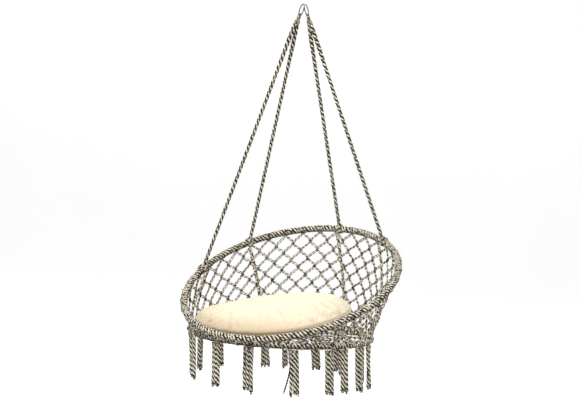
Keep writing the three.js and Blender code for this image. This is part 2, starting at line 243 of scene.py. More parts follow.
def fibre_height(tree, turns, lay):
    """Fine ridges along the yarns, with loose fibres over them."""
    fine = maths(tree, "ADD", maths(tree, "MULTIPLY", turns, 4.0), maths(tree, "MULTIPLY", lay, 4.0))
    ridges = maths(tree, "SINE", maths(tree, "MULTIPLY", fine, math.tau))
    return maths(tree, "ADD", maths(tree, "MULTIPLY", ridges, 0.5), spots(tree, 900))


def make_twist_group():
    """Dark and cream yarns laid round a cord: colour, with painted shade and tone from the `shade`
    attribute multiplied in, and the height of its fibres.
    """
    tree, entry, out = new_group(
        "twisted_two_tone_yarn",
        [
            ("Pitch", "NodeSocketFloat", 0.012),
            ("Dark share", "NodeSocketFloat", 0.5),
            ("Patchiness", "NodeSocketFloat", 1.6),
            ("Dark", "NodeSocketColor", (*BLACK_BROWN, 1)),
            ("Light", "NodeSocketColor", (*CREAM, 1)),
        ],
        [("Color", "NodeSocketColor"), ("Height", "NodeSocketFloat")],
    )
    uv = node(tree, "ShaderNodeUVMap", uv_map="along").outputs[0]
    split = node(tree, "ShaderNodeSeparateXYZ", {0: uv})
    turns = split.outputs["X"]
    lay = maths(tree, "DIVIDE", split.outputs["Y"], entry.outputs["Pitch"])
    mask = yarn_mask(tree, entry, turns, lay)
    colour = blend_colour(tree, mask, entry.outputs["Dark"], entry.outputs["Light"])
    fuzz = maths(tree, "MULTIPLY_ADD", spots(tree, 1400), 0.5, 0.72)
    fuzzy = blend_colour(tree, 1.0, colour, grey(tree, fuzz), "MULTIPLY")
    # Painted shade: the `shade` attribute mixes the colour towards a dark olive where a cord faces down,
    # and by each cord's own tone
    tone = node(tree, "ShaderNodeAttribute", attribute_name="shade").outputs["Fac"]
    painted_shade_and_tone = blend_colour(tree, tone, (0.16, 0.15, 0.08, 1), (1, 1, 1, 1))
    tree.links.new(blend_colour(tree, 1.0, fuzzy, painted_shade_and_tone, "MULTIPLY"), out.inputs["Color"])
    tree.links.new(fibre_height(tree, turns, lay), out.inputs["Height"])
    return tree


def new_material(name, roughness, metallic=0.0):
    material = bpy.data.materials.new(name)
    material.use_nodes = True
    shader = material.node_tree.nodes["Principled BSDF"]
    shader.inputs["Roughness"].default_value = roughness
    shader.inputs["Metallic"].default_value = metallic
    return material, material.node_tree, shader


def add_bump(tree, shader, height, distance, strength=1.0):
    inputs = {"Height": height, "Distance": distance, "Strength": strength}
    bump = node(tree, "ShaderNodeBump", inputs)
    tree.links.new(bump.outputs[0], shader.inputs["Normal"])


def cord_material(name, group, pitch, dark_share, patchiness):
    material, tree, shader = new_material(name, 0.92)
    shader.inputs["Sheen Weight"].default_value = 0.03
    twist = tree.nodes.new("ShaderNodeGroup")
    twist.node_tree = group
    twist.inputs["Pitch"].default_value = pitch
    twist.inputs["Dark share"].default_value = dark_share
    twist.inputs["Patchiness"].default_value = patchiness
    tree.links.new(twist.outputs["Color"], shader.inputs["Base Color"])
    add_bump(tree, shader, twist.outputs["Height"], 0.0004, 0.7)
    return material


def painted_underside_shade(tree, height):
    """How far painted shade darkens the cotton to tan: on what faces down, and low on the cushion."""
    normal = node(tree, "ShaderNodeNewGeometry").outputs["Normal"]
    facing = node(tree, "ShaderNodeSeparateXYZ", {0: normal}).outputs["Z"]
    under = ramp(tree, facing, 0.96, 0.15)
    low = ramp(tree, height, -1.10, -1.185, 0.8, "SMOOTHSTEP")
    return maths(tree, "MAXIMUM", under, low)


def cotton_material():
    material, tree, shader = new_material("unbleached_cotton", 0.86)
    shader.inputs["Sheen Weight"].default_value = 0.2
    place = node(tree, "ShaderNodeTexCoord").outputs["Object"]
    split = node(tree, "ShaderNodeSeparateXYZ", {0: place})
    threads = math.tau / 0.0016
    warp = maths(tree, "SINE", maths(tree, "MULTIPLY", split.outputs["X"], threads))
    weft = maths(tree, "SINE", maths(tree, "MULTIPLY", split.outputs["Y"], threads))
    cloth = maths(tree, "MULTIPLY", maths(tree, "MULTIPLY", warp, weft), 0.25)
    slubs = maths(tree, "MULTIPLY_ADD", spots(tree, 240, 3.0), 0.5, cloth)
    add_bump(tree, shader, slubs, 0.0007, 0.5)
    mottled = blend_colour(tree, spots(tree, 9, 3.0), (0.74, 0.64, 0.47, 1), (0.82, 0.73, 0.56, 1))
    # Painted shade: the cotton turns tan where it faces down and low on the cushion
    with_painted_shade = blend_colour(tree, painted_underside_shade(tree, split.outputs["Z"]), mottled, (0.50, 0.38, 0.24, 1))
    speck = ramp(tree, spots(tree, 330, 1.0), 0.71, 0.78)
    colour = blend_colour(tree, speck, with_painted_shade, (0.50, 0.38, 0.22, 1))
    tree.links.new(colour, shader.inputs["Base Color"])
    return material


def steel_material(name, colour, roughness):
    material, tree, shader = new_material(name, roughness, 1.0)
    shader.inputs["Base Color"].default_value = (*colour, 1)
    drawn = spots(tree, 160, 3.0)
    inputs = {"Value": drawn, "To Min": roughness * 0.7, "To Max": roughness * 1.4}
    level = node(tree, "ShaderNodeMapRange", inputs)
    tree.links.new(level.outputs[0], shader.inputs["Roughness"])
    add_bump(tree, shader, drawn, 0.00015, 0.5)
    return material


def plaster_material():
    material, tree, shader = new_material("pale_floor", 0.8)
    colour = blend_colour(tree, spots(tree, 1.5), (0.90, 0.90, 0.90, 1), (0.94, 0.94, 0.94, 1))
    tree.links.new(colour, shader.inputs["Base Color"])
    shader.inputs["Emission Color"].default_value = (1, 1, 1, 1)
    shader.inputs["Emission Strength"].default_value = 0.24
    return material


# Cords as swept meshes


def unit(vector):
    vector = np.asarray(vector, float)
    return vector / np.linalg.norm(vector)


def tangents(path, closed=False):
    if closed:
        step = np.roll(path, -1, 0) - np.roll(path, 1, 0)
    else:
        step = np.gradient(path, axis=0)
    return step / np.linalg.norm(step, axis=1)[:, None]


def carried_normals(tangent, closed=False):
    """A direction square to the path, carried along it without turning about it."""
    start = np.cross(tangent[0], (0, 0, 1) if abs(tangent[0][2]) < 0.9 else (1, 0, 0))
    normals = [unit(start)]
    for t in tangent[1:]:
        carried = normals[-1] - t * t.dot(normals[-1])
        normals.append(carried / math.sqrt(carried.dot(carried)))
    normals = np.array(normals)
    if closed:
        last = unit(normals[-1] - tangent[0] * tangent[0].dot(normals[-1]))
        short = math.atan2(np.cross(last, normals[0]).dot(tangent[0]), last.dot(normals[0]))
        turn = (np.arange(len(normals)) / len(normals) * short)[:, None]
        normals = normals * np.cos(turn) + np.cross(tangent, normals) * np.sin(turn)
    return normals


def lengths_along(path):
    return np.concatenate([[0.0], np.cumsum(np.linalg.norm(np.diff(path, axis=0), axis=1))])


def resample(path, step):
    """The same path with points about `step` apart."""
    path = np.asarray(path, float)
    along = lengths_along(path)
    count = max(int(round(along[-1] / step)), 2) + 1
    wanted = np.linspace(0, along[-1], count)
    return np.stack([np.interp(wanted, along, path[:, k]) for k in range(3)], axis=1)


class Cords:
    """Cords swept into one mesh. The UV is (turns round the cord, metres along it). `shade` darkens
    a cord, or each of its points, from 1 to 0: painted shade where it follows which way a cord faces,
    and otherwise a set or random tone for the cord; `yarn` is 0 for dark yarn and 1 for cream."""

    def __init__(self):
        self.points, self.faces, self.uvs, self.shades, self.yarns = [], [], [], [], []
        self.total = 0

    def sweep(self, path, radius, sides=6, closed=False, shade=1.0, offset=0.0, yarn=0.5):
        path = np.asarray(path, float)
        count = len(path)
        tangent = tangents(path, closed)
        normal = carried_normals(tangent, closed)
        turn = np.arange(sides) * math.tau / sides
        spokes = normal[:, None, :] * np.cos(turn)[None, :, None]
        spokes = spokes + np.cross(tangent, normal)[:, None, :] * np.sin(turn)[None, :, None]
        radii = np.broadcast_to(radius, count)[:, None, None]
        self.points.append((path[:, None, :] + spokes * radii).reshape(-1, 3))
        shades = np.broadcast_to(shade, count)
        self.shades.append(np.repeat(shades, sides))
        self.yarns.append(np.full(count * sides, yarn))
        along = lengths_along(np.vstack([path, path[:1]]) if closed else path) + offset
        self._walls(count if closed else count - 1, count, sides, along)
        self.total += count * sides
        if not closed:
            first = self.total - count * sides
            last = self.total - sides
            start = path[0] - tangent[0] * radii[0, 0, 0] / 2
            end = path[-1] + tangent[-1] * radii[-1, 0, 0] / 2
            self._cap(start, first, sides, -1, (shades[0], yarn))
            self._cap(end, last, sides, 1, (shades[-1], yarn))

    def _walls(self, rows, count, sides, along):
        base = self.total
        for i in range(rows):
            a, b = base + i * sides, base + ((i + 1) % count) * sides
            low, high = along[i], along[i + 1]
            for j in range(sides):
                k = (j + 1) % sides
                self.faces.append((a + j, a + k, b + k, b + j))
                u, w = j / sides, (j + 1) / sides
                self.uvs += [u, low, w, low, w, high, u, high]

    def _cap(self, tip, ring, sides, way, tone):
        self.points.append(np.array([tip]))
        self.shades.append(np.array([tone[0]]))
        self.yarns.append(np.array([tone[1]]))
        for j in range(sides):
            pair = (ring + j, ring + (j + 1) % sides)
            self.faces.append((*pair[::way], self.total))
            self.uvs += [0.0] * 6
        self.total += 1

    def piece(self, name, material, body, *replaced):
        mesh = bpy.data.meshes.new(name)
        mesh.from_pydata(np.concatenate(self.points).tolist(), [], self.faces)
        mesh.uv_layers.new(name="along").data.foreach_set("uv", self.uvs)
        for label, values in (("shade", self.shades), ("yarn", self.yarns)):
            layer = mesh.attributes.new(label, "FLOAT", "POINT")
            layer.data.foreach_set("value", np.concatenate(values).astype(np.float32))
        mesh.shade_smooth()
        mesh.materials.append(material)
        made = bpy.data.objects.new(name, mesh)
        bpy.context.scene.collection.objects.link(made)
        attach(made, body)
        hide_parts(*replaced)
        return made


def plies(path, count, lay_radius, pitch, hand=-1, phase=0.0, opening=None):
    """The paths of `count` plies laid round a path. `hand` is -1 for a left-hand twist."""
    tangent = tangents(path)
    normal = carried_normals(tangent)
    across = np.cross(tangent, normal)
    along = lengths_along(path)
    reach = lay_radius if opening is None else lay_radius * opening[:, None]
    made = []
    for k in range(count):
        turn = (phase + hand * math.tau * along / pitch + math.tau * k / count)[:, None]
        made.append(path + reach * (normal * np.cos(turn) + across * np.sin(turn)))
    return made


# Hoops


class Hoop:
    """A round hoop that leans by `tilt` degrees, lowest at `low_side` degrees left of the front."""

    def __init__(self, radius, centre, tilt, low_side):
        tilt, low_side = math.radians(tilt), math.radians(low_side)
        level = -math.sin(tilt)
        self.radius = radius
        self.centre = np.array(centre)
        sideways, forwards = level * math.sin(low_side), level * math.cos(low_side)
        self.normal = np.array((sideways, forwards, math.cos(tilt)))
        self.right = unit(np.array((1.0, 0, 0)) - self.normal * self.normal[0])
        self.back = np.cross(self.normal, self.right)

    def radial(self, angle):
        a = math.radians(angle)
        return self.right * math.sin(a) + self.back * math.cos(a)

    def tangent(self, angle):
        return self.radial(angle + 90)

    def point(self, angle):
        return self.centre + self.radial(angle) * self.radius

    def around(self, angle, turn, reach):
        """A point `reach` from the centre line: `turn` is 0 outwards and a quarter turn upwards."""
        side = self.radial(angle) * math.cos(turn) + self.normal * math.sin(turn)
        return self.point(angle) + side * reach


LARGE = Hoop(LARGE_RADIUS, LARGE_CENTRE, LARGE_TILT, LARGE_LOW_SIDE)
SEAT = Hoop(SEAT_RADIUS, SEAT_CENTRE, 0, 0)


def waves(chance, count, rates, sizes):
    """Random sine waves as (whole turns round the hoop, height, phase)."""
    made = []
    for _ in range(count):
        made.append((chance.randint(*rates), chance.uniform(*sizes), chance.uniform(0, 6)))
    return made


def wave_sum(made, share):
    return sum(size * math.sin(rate * share + phase) for rate, size, phase in made)


def wrap_hoop(name, hoop, turns, material, body, knots):
    """Dark and cream cords wound side by side round the steel tube, each closing on itself, with
    the net's own loops drawn tight over them at its columns."""
    chance = random.Random(name)
    steps = turns * 19
    reach = TUBE_WRAP_RADIUS - WRAP_STRAND
    drift = waves(chance, 6, (5, 60), (0.05, 0.16))
    cords = Cords()
    for k in range(WRAP_STRANDS):
        path, shade = [], []
        own = waves(chance, 4, (20, 150), (0.00008, 0.00022))
        for i in range(steps):
            share = math.tau * i / steps
            turn = turns * share + math.tau * k / WRAP_STRANDS + wave_sum(drift, share)
            path.append(hoop.around(360 * i / steps, turn, reach + wave_sum(own, share)))
            # Painted shade: each cord of the wrap darkens towards olive as it turns down under the tube
            shade.append(min(1, max(0, 0.62 + 0.85 * math.sin(turn))))
        cords.sweep(path, WRAP_STRAND, 6, True, np.array(shade), yarn=0.16 if k % 2 else 0.78)
    for angle, facing in knots:
        add_lark_head(cords, hoop, angle, facing, chance)
    return cords.piece(name, material, body, name.replace("_wrap", "_sheath"))


def degrees_per_metre(hoop):
    return 1 / (hoop.radius * math.pi / 180)


def add_lark_head(cords, hoop, angle, facing, chance):
    """Two turns of the net's cord over the wrap, open on the side away from the net."""
    per_metre = degrees_per_metre(hoop)
    # Painted shade: the turns are darker where they face downwards
    shade = 0.75 + 0.25 * math.sin(facing)
    for hand in (-1, 1):
        middle = angle + hand * 0.0026 * per_metre
        path = []
        for i in range(15):
            turn = facing + 2.3 * (i / 7 - 1)
            slant = hand * 0.0012 * per_metre * math.cos(turn - facing)
            path.append(hoop.around(middle + slant, turn, TUBE_WRAP_RADIUS + 0.0001))
        yarn, offset = chance.choice((0.3, 0.6)), chance.uniform(0, 1)
        cords.sweep(path, 0.0022, 5, shade=shade, yarn=yarn, offset=offset)


def net_knots(hoop, other):
    """Where the net's cords are looped on a hoop, as (angle, the turn that faces the net)."""
    found = []
    for column in range(1, 72, 2):
        angle = column * HALF_COLUMN
        towards = other.point(angle) - hoop.point(angle)
        facing = math.atan2(towards.dot(hoop.normal), towards.dot(hoop.radial(angle)))
        clear = all(abs((angle - rope + 180) % 360 - 180) > 2.5 for rope in ROPE_ANGLES.values())
        if clear or hoop is SEAT:
            found.append((angle, facing))
    return found


# Hanging rings, rope heads and ropes


def ring_frame(side):
    lean = math.radians(RING_LEAN)
    down = np.array((side * math.sin(lean), 0, -math.cos(lean)))
    turn = Matrix.Rotation(math.radians(RING_YAW), 3, Vector(down))
    along = np.array(turn @ Vector((0, 1, 0)))
    bottom = np.array((side * RING_TOP_X, 0, WIRE_RADIUS)) + down * 2 * RING_RADIUS
    return down, along, bottom


def head_piece(word, side, material):
    """A doubled cord through the ring, bound by tight turns where the two ropes come together."""
    down, along, bottom = ring_frame(side)
    across = np.cross(along, down)
    cords = Cords()
    for shift in (-0.0018, 0.0018):
        loop = []
        for i in range(25):
            turn = math.tau * i / 24 - math.pi / 2
            drop = 0.0054 + 0.0143 * math.sin(turn)
            loop.append(bottom + down * drop + along * 0.0112 * math.cos(turn) + across * shift)
        for ply in plies(resample(loop, 0.002), 2, 0.0010, 0.014, phase=shift * 900):
            cords.sweep(ply, 0.0013, 6, shade=0.8)
    turns, path = 6.3, []
    for i in range(int(turns * 16)):
        share = i / (turns * 16)
        turn = math.tau * turns * share
        depth = NECK_TOP + 0.0022 + share * (NECK_BOTTOM - NECK_TOP - 0.0044)
        bulge = 0.0072 + 0.0014 * math.sin(math.pi * share)
        ellipse = along * 1.3 * math.cos(turn) + across * math.sin(turn)
        path.append(bottom + down * depth + ellipse * bulge)
    cords.sweep(path, 0.0021, 7, shade=0.55)
    core = [bottom + down * d for d in (0.012, 0.018, 0.026, 0.034, 0.043)]
    cords.sweep(resample(core, 0.003), 0.0064, 10, shade=0.5)
    return cords.piece(f"rope_head_cords_{word}", material, "chair", f"rope_head_{word}")


def stand_off(hoop, angle, along, radius):
    lean = abs(hoop.tangent(angle).dot(along))
    return (HITCH_RADIUS + GAP + radius * lean) / math.sqrt(1 - lean * lean)


def rope_path(place, side):
    down, along, bottom = ring_frame(side)
    word = place.split("_")[1]
    apart = LARGE.point(ROPE_ANGLES[f"back_{word}"]) - LARGE.point(ROPE_ANGLES[f"front_{word}"])
    apart = unit(apart - down * apart.dot(down)) * (1 if place.startswith("back") else -1)
    top = bottom + down * (NECK_BOTTOM + GAP + 0.0015) + apart * 0.0074
    foot = LARGE.point(ROPE_ANGLES[place])
    direction = unit(foot - top)
    foot = foot - direction * (stand_off(LARGE, ROPE_ANGLES[place], direction, 0.007) - 0.002)
    return top, foot, direction


def rope_piece(place, side, material):
    """A four-ply rope, its plies opening where the pair of ropes meets."""
    top, foot, direction = rope_path(place, side)
    chance = random.Random(place)
    line = resample([top - direction * 0.006, foot], 0.0042)
    share = np.linspace(0, 1, len(line))
    loose = 1 + 0.35 * np.exp(-((share - 0.09) / 0.06) ** 2)
    loose = loose + 0.06 * np.sin(share * 61 + chance.uniform(0, 6))
    cords = Cords()
    laid = plies(line, 4, ROPE_LAY, ROPE_PITCH, phase=chance.uniform(0, 6), opening=loose)
    for k, ply in enumerate(laid):
        cords.sweep(ply, ROPE_PLY, 7, shade=0.95, yarn=0.12 if k % 2 else 0.72)
    made = cords.piece(f"suspension_rope_{place}", material, "chair", f"rope_{place}")
    return made


def hitch_piece(place, material):
    """Turns of cord drawn tight round the hoop, with two crossing passes on the outside."""
    angle = ROPE_ANGLES[place]
    per_metre = degrees_per_metre(LARGE)
    cords = Cords()
    turns, steps = 4, 22
    path = []
    for i in range(turns * steps + 1):
        share = i / (turns * steps) - 0.5
        spot = angle + share * 0.0175 * per_metre
        path.append(LARGE.around(spot, math.tau * turns * share, HITCH_LAYER))
    cords.sweep(path, 0.0027, 7, shade=0.8)
    for lean in (-1, 1):
        path = []
        for i in range(17):
            share = i / 16 - 0.5
            turn = math.pi * (0.30 + 1.05 * share)
            spot = angle + lean * share * 0.019 * per_metre
            path.append(LARGE.around(spot, turn, HITCH_LAYER + 0.0019))
        cords.sweep(path, 0.0023, 6, shade=0.95)
    return cords.piece(f"rope_knot_{place}", material, "chair", f"rope_hitch_{place}")


# Net


def net_line(angle):
    start_at = LARGE.point(angle)
    along = SEAT.point(angle) - start_at
    reach = np.linalg.norm(along)
    along = along / reach
    slope = [math.sqrt(1 - hoop.tangent(angle).dot(along) ** 2) for hoop in (LARGE, SEAT)]
    start = NET_MARGIN / slope[0]
    return start_at, along, start, reach - NET_MARGIN / slope[1] - start


def net_point(angle, down, outward=0.0):
    start_at, along, start, _ = net_line(angle)
    return start_at + along * (start + down) + net_out(angle) * outward


def net_out(angle):
    along = net_line(angle)[1]
    out = unit(np.cross(along, LARGE.tangent(angle)))
    return out if out.dot(LARGE.radial(angle)) > 0 else -out


def net_leg(column, row, step):
    """One side of a diamond, from a knot down to the next or into the seat hoop's wrap."""
    sink = 0.006
    points = []
    for i in range(9):
        t = i / 8
        angle = (column + step * (t - 0.085 * math.sin(math.tau * t))) * HALF_COLUMN
        down = (row + t) * HALF_ROW if row > 0 else t * (HALF_ROW + sink) - sink
        if down > net_line(angle)[3] + sink:
            break
        points.append((angle, down))
    return points


def add_leg(cords, column, row, step, chance):
    points = net_leg(column, row, step)
    if len(points) < 3:
        return
    line = np.array([net_point(a, d) for a, d in points])
    out = np.array([net_out(a) for a, _ in points])
    side = np.cross(tangents(line), out)
    share = np.linspace(0, 1, len(line))
    bow = np.sin(math.pi * share)[:, None]
    offset = chance.uniform(0, 1)
    for hand in (-1, 1):
        gap = 0.0019 + bow * chance.uniform(0.0, 0.0016)
        lift = bow * chance.uniform(-0.0012, 0.0012)
        path = line + side * gap * hand + out * lift
        start = offset + chance.uniform(0, 0.002)
        thick = NET_CORD * chance.uniform(0.93, 1.1)
        cords.sweep(path, thick, 6, shade=chance.uniform(0.85, 1), offset=start)


def knot_rings():
    """A square knot: two flat turns of cord, leaning opposite ways, in a unit frame."""
    rings = []
    for lean, height in ((0.30, -0.42), (-0.30, 0.42)):
        ring = []
        for i in range(8):
            turn = math.tau * i / 8
            ring.append((math.cos(turn), 0.62 * math.sin(turn), height + lean * math.cos(turn)))
        rings.append(np.array(ring))
    return rings


KNOT = knot_rings()


def add_knot(cords, place, across, out, down, chance, size=0.0055, cord=0.0022):
    size = size * chance.uniform(0.9, 1.12)
    flip = chance.choice((-1, 1))
    for ring in KNOT:
        spread = ring[:, :1] * across * flip + ring[:, 1:2] * out + ring[:, 2:] * down
        shade, offset = chance.uniform(0.6, 0.9), chance.uniform(0, 1)
        yarn = chance.choice((0.3, 0.6))
        cords.sweep(place + size * spread, cord, 5, True, shade=shade, offset=offset, yarn=yarn)


def net_piece(index, material):
    cords = Cords()
    chance = random.Random(100 + index)
    columns = int(360 / NET_PANELS / HALF_COLUMN)
    for column in range(index * columns, (index + 1) * columns):
        angle = column * HALF_COLUMN
        for row in range((column + 1) % 2, 14, 2):
            if row * HALF_ROW > net_line(angle)[3] + 0.002:
                break
            for step in (-1, 1):
                add_leg(cords, column, row, step, chance)
            if row > 0:
                _, along, _, _ = net_line(angle)
                out = net_out(angle)
                place = net_point(angle, row * HALF_ROW)
                add_knot(cords, place, np.cross(out, along), out, along, chance)
    return cords.piece(f"net_cords_{index + 1}", material, "chair", f"net_panel_{index + 1}")


def sinnet_angle(place, share):
    return ROPE_ANGLES[place] + (SINNET_ENDS[place] - ROPE_ANGLES[place]) * share


def sinnet_piece(place, material):
    """A plaited band down the inside of the net, from a rope's knot to the seat hoop."""
    start = HITCH_RADIUS - TUBE_WRAP_RADIUS + 0.002
    points = []
    for i in range(30):
        share = i / 29
        angle = sinnet_angle(place, share)
        height = net_line(angle)[3]
        points.append(net_point(angle, start + (height - 2 * start) * share, SINNET_INSIDE))
    line = resample(points, 0.003)
    shares = np.linspace(0, 1, len(line))
    out = np.array([net_out(sinnet_angle(place, share)) for share in shares])
    side = np.cross(tangents(line), out)
    side = side / np.linalg.norm(side, axis=1)[:, None]
    along = lengths_along(line)
    cords = Cords()
    for k in range(3):
        turn = (math.tau * (along / 0.034 + k / 3))[:, None]
        path = line + side * 0.0050 * np.sin(turn) + out * 0.0020 * np.sin(2 * turn)
        cords.sweep(path, 0.0029, 6, shade=(1, 0.9, 0.8)[k], yarn=(0.75, 0.5, 0.3)[k])
    return cords.piece(f"plaited_band_{place}", material, "chair", f"sinnet_{place}")


# Seat


def seat_point(radius, angle, lift=0.0):
    return SEAT.centre + SEAT.radial(angle) * radius + SEAT.normal * lift


def add_seat_legs(cords, chance, rows, step):
    half = 180 / WEAVE_COLUMNS
    for row in range(rows + 1):
        for column in range(WEAVE_COLUMNS):
            angle = (column + (row % 2) / 2) * 360 / WEAVE_COLUMNS
            inner, outer = WEAVE_HUB + row * step, WEAVE_HUB + (row + 1) * step
            for lean in (-1, 1):
                ends = [seat_point(inner, angle), seat_point(outer, angle + lean * half)]
                line = resample(ends, 0.006)
                side = unit(np.cross(ends[1] - ends[0], SEAT.normal))
                bow = np.sin(np.linspace(0, math.pi, len(line)))[:, None]
                for hand in (-1, 1):
                    drop = SEAT.normal * bow * chance.uniform(-0.0014, 0.0004)
                    path = line + side * hand * (0.0018 + bow * chance.uniform(0, 0.0012)) + drop
                    shade, offset = chance.uniform(0.75, 1), chance.uniform(0, 1)
                    cords.sweep(path, 0.0017, 6, shade=shade, offset=offset)
            place = seat_point(inner, angle)
            out = SEAT.radial(angle)
            across = np.cross(SEAT.normal, out)
            add_knot(cords, place, across, SEAT.normal, out, chance, 0.0052, 0.0019)


def seat_piece(material):
    rim = SEAT_RADIUS - TUBE_WRAP_RADIUS + 0.004
    step = (rim - WEAVE_HUB) / (WEAVE_ROWS + 1)
    cords = Cords()
    add_seat_legs(cords, random.Random(7), WEAVE_ROWS, step)
    path = []
    turns, cord = 11, 0.0021
    for i in range(turns * 30):
        share = i / (turns * 30)
        radius = 0.003 + share * (WEAVE_HUB - 0.003)
        path.append(seat_point(radius, 360 * turns * share, 0.0003 * math.sin(i)))
    cords.sweep(path, cord, 6, shade=0.9)
    return cords.piece("seat_cords", material, "chair", "seat_weave")


# Tassels


def add_frayed_end(cords, place, direction, reach, chance):
    """The whipping near a cord's end and the loose yarns below it."""
    side = unit(np.cross(direction, (1, 0.2, 0)))
    other = np.cross(direction, side)
    turns = np.arange(8) * math.tau / 8
    ring = side * np.cos(turns)[:, None] + other * np.sin(turns)[:, None]
    ring = place + ring * reach * 0.75 + direction * (np.sin(turns)[:, None] * 0.2 * reach - 0.002)
    cords.sweep(ring, reach * 0.34, 5, True, shade=0.35, yarn=0.1)
    for _ in range(9):
        spread = (side * chance.uniform(-1, 1) + other * chance.uniform(-1, 1)) * reach * 0.75
        tip = place + direction * chance.uniform(0.005, 0.012) + spread
        middle = place + (tip - place) * 0.5 + spread * 0.25
        start = place + spread * 0.5 - direction * 0.002
        radii = np.array([0.30, 0.26, 0.12]) * reach * 0.8
        shade, yarn = chance.uniform(0.4, 0.8), chance.choice((0.05, 0.2, 0.8))
        cords.sweep([start, middle, tip], radii, 4, shade=shade, yarn=yarn)


def hanging_cord(cords, top, foot, sway, chance, build):
    """One laid cord from the hoop to its knotted end. `sway` bends it sideways halfway down, and
    `build` is (dark plies, cream plies, ply radius, lay radius, pitch)."""
    share = np.linspace(0, 1, 12)[:, None]
    line = resample(top + (foot - top) * share + sway * np.sin(math.pi * share), 0.0030)
    dark, cream, ply, lay, pitch = build
    count = dark + cream
    turned = plies(line, count, lay, pitch, phase=chance.uniform(0, 6))
    for k, path in enumerate(turned):
        yarn = 0.1 if k % (count // dark) == 0 else 0.85
        shade, offset = chance.uniform(0.88, 1.0), chance.uniform(0, 1)
        cords.sweep(path, ply, 5, shade=shade, offset=offset, yarn=yarn)
    add_frayed_end(cords, line[-1], unit(line[-1] - line[-3]), lay + ply, chance)


THICK_CORD = (2, 2, 0.0031, 0.0036, 0.034)
THIN_CORD = (2, 0, 0.0018, 0.0016, 0.020)
# Thin cords beside a tassel's thick ones, by its index: how far aside each ends, and its length
STRAYS = {
    0: [(0.016, 0.095)],
    1: [(-0.022, 0.090)],
    4: [(0.020, 0.110)],
    8: [(0.034, 0.146)],
    9: [(-0.020, 0.146), (0.018, 0.092)],
    10: [(0.017, 0.130)],
    12: [(0.012, 0.135)],
    16: [(0.026, 0.080), (-0.030, 0.074)],
}


def tassel_piece(index, material):
    name = f"tassel_{index + 1:02d}"
    angle = TASSEL_ANGLES[index]
    chance = random.Random(500 + index)
    along, out = SEAT.tangent(angle), SEAT.radial(angle)
    down = np.array((0, 0, -1.0))
    origin = SEAT.point(angle) + down * TASSEL_TOP
    lean = along * chance.uniform(-0.006, 0.006) + np.array((0.010, 0, 0))
    cords = Cords()
    for k in range(3):
        top = origin + along * (k - 1) * 0.0100 + out * (0.003 if k % 2 else -0.002) + down * 0.002
        length = TASSEL_LENGTH - 0.003 + chance.uniform(-0.012, 0.004)
        aside = (k - 1) * 0.0125 + chance.uniform(-0.0015, 0.0015)
        foot = origin + along * aside + down * length + lean
        foot = foot + out * chance.uniform(-0.003, 0.003)
        sway = along * chance.uniform(-0.0022, 0.0022) + out * chance.uniform(-0.0015, 0.0015)
        hanging_cord(cords, top, foot, sway, chance, THICK_CORD)
    for shift, length in STRAYS.get(index, []):
        top = origin + along * 0.010 * math.copysign(1, shift) + down * 0.004
        foot = origin + along * shift + down * length + lean * 0.8
        hanging_cord(cords, top, foot, along * shift * -0.2, chance, THIN_CORD)
    binding = []
    for i in range(34):
        turn = math.tau * i / 16
        depth = 0.004 + 0.0042 * i / 16
        ellipse = along * 0.0150 * math.cos(turn) + out * 0.0088 * math.sin(turn)
        binding.append(origin + ellipse + down * depth)
    cords.sweep(binding, 0.0021, 6, shade=0.75)
    return cords.piece(f"tassel_cords_{index + 1:02d}", material, name, name)


# Cushion


def dome(radius, height):
    share = min(radius / CUSHION_RADIUS, 1)
    return CUSHION_EDGE + (height - CUSHION_EDGE) * (1 - share**3.4) ** 0.8


def droop(y):
    """How far the cushion hangs below its own plane, at a distance y behind its centre."""
    return CUSHION_DROOP * np.maximum(0, -y / CUSHION_RADIUS) ** 1.6


def lens_mesh(rings=26, segments=112):
    """Two domes that meet in a thin rim, round the cushion's own centre."""
    points, faces = [], []
    for top in (True, False):
        height = CUSHION_TOP if top else CUSHION_BOTTOM
        start = len(points)
        sign = 1 if top else -1
        points.append((0, 0, sign * dome(0, height)))
        for r in range(1, rings + 1):
            radius = CUSHION_RADIUS * math.sin(r / rings * math.pi / 2)
            for s in range(segments):
                a = math.tau * s / segments
                z = sign * dome(radius, height)
                if top:
                    z *= 1 + CUSHION_SKEW * radius * math.cos(a) / CUSHION_RADIUS
                z -= float(droop(radius * math.sin(a)))
                points.append((radius * math.cos(a) * 0.985, radius * math.sin(a) * 0.985, z))
        for s in range(segments):
            t = (s + 1) % segments
            tri = (start, start + 1 + s, start + 1 + t)
            faces.append(tri if top else tri[::-1])
            for r in range(rings - 1):
                a, b = start + 1 + r * segments, start + 1 + (r + 1) * segments
                quad = (a + s, b + s, b + t, a + t)
                faces.append(quad if top else quad[::-1])
    low = 1 + (rings - 1) * segments
    other = low + 1 + rings * segments
    for s in range(segments):
        t = (s + 1) % segments
        faces.append((low + t, low + s, other + s, other + t))
    mesh = bpy.data.meshes.new("cushion")
    mesh.from_pydata(points, [], faces)
    return mesh


def apply_modifier(piece, modifier):
    bpy.ops.object.select_all(action="DESELECT")
    bpy.context.view_layer.objects.active = piece
    piece.select_set(True)
    bpy.ops.object.modifier_apply(modifier=modifier.name)


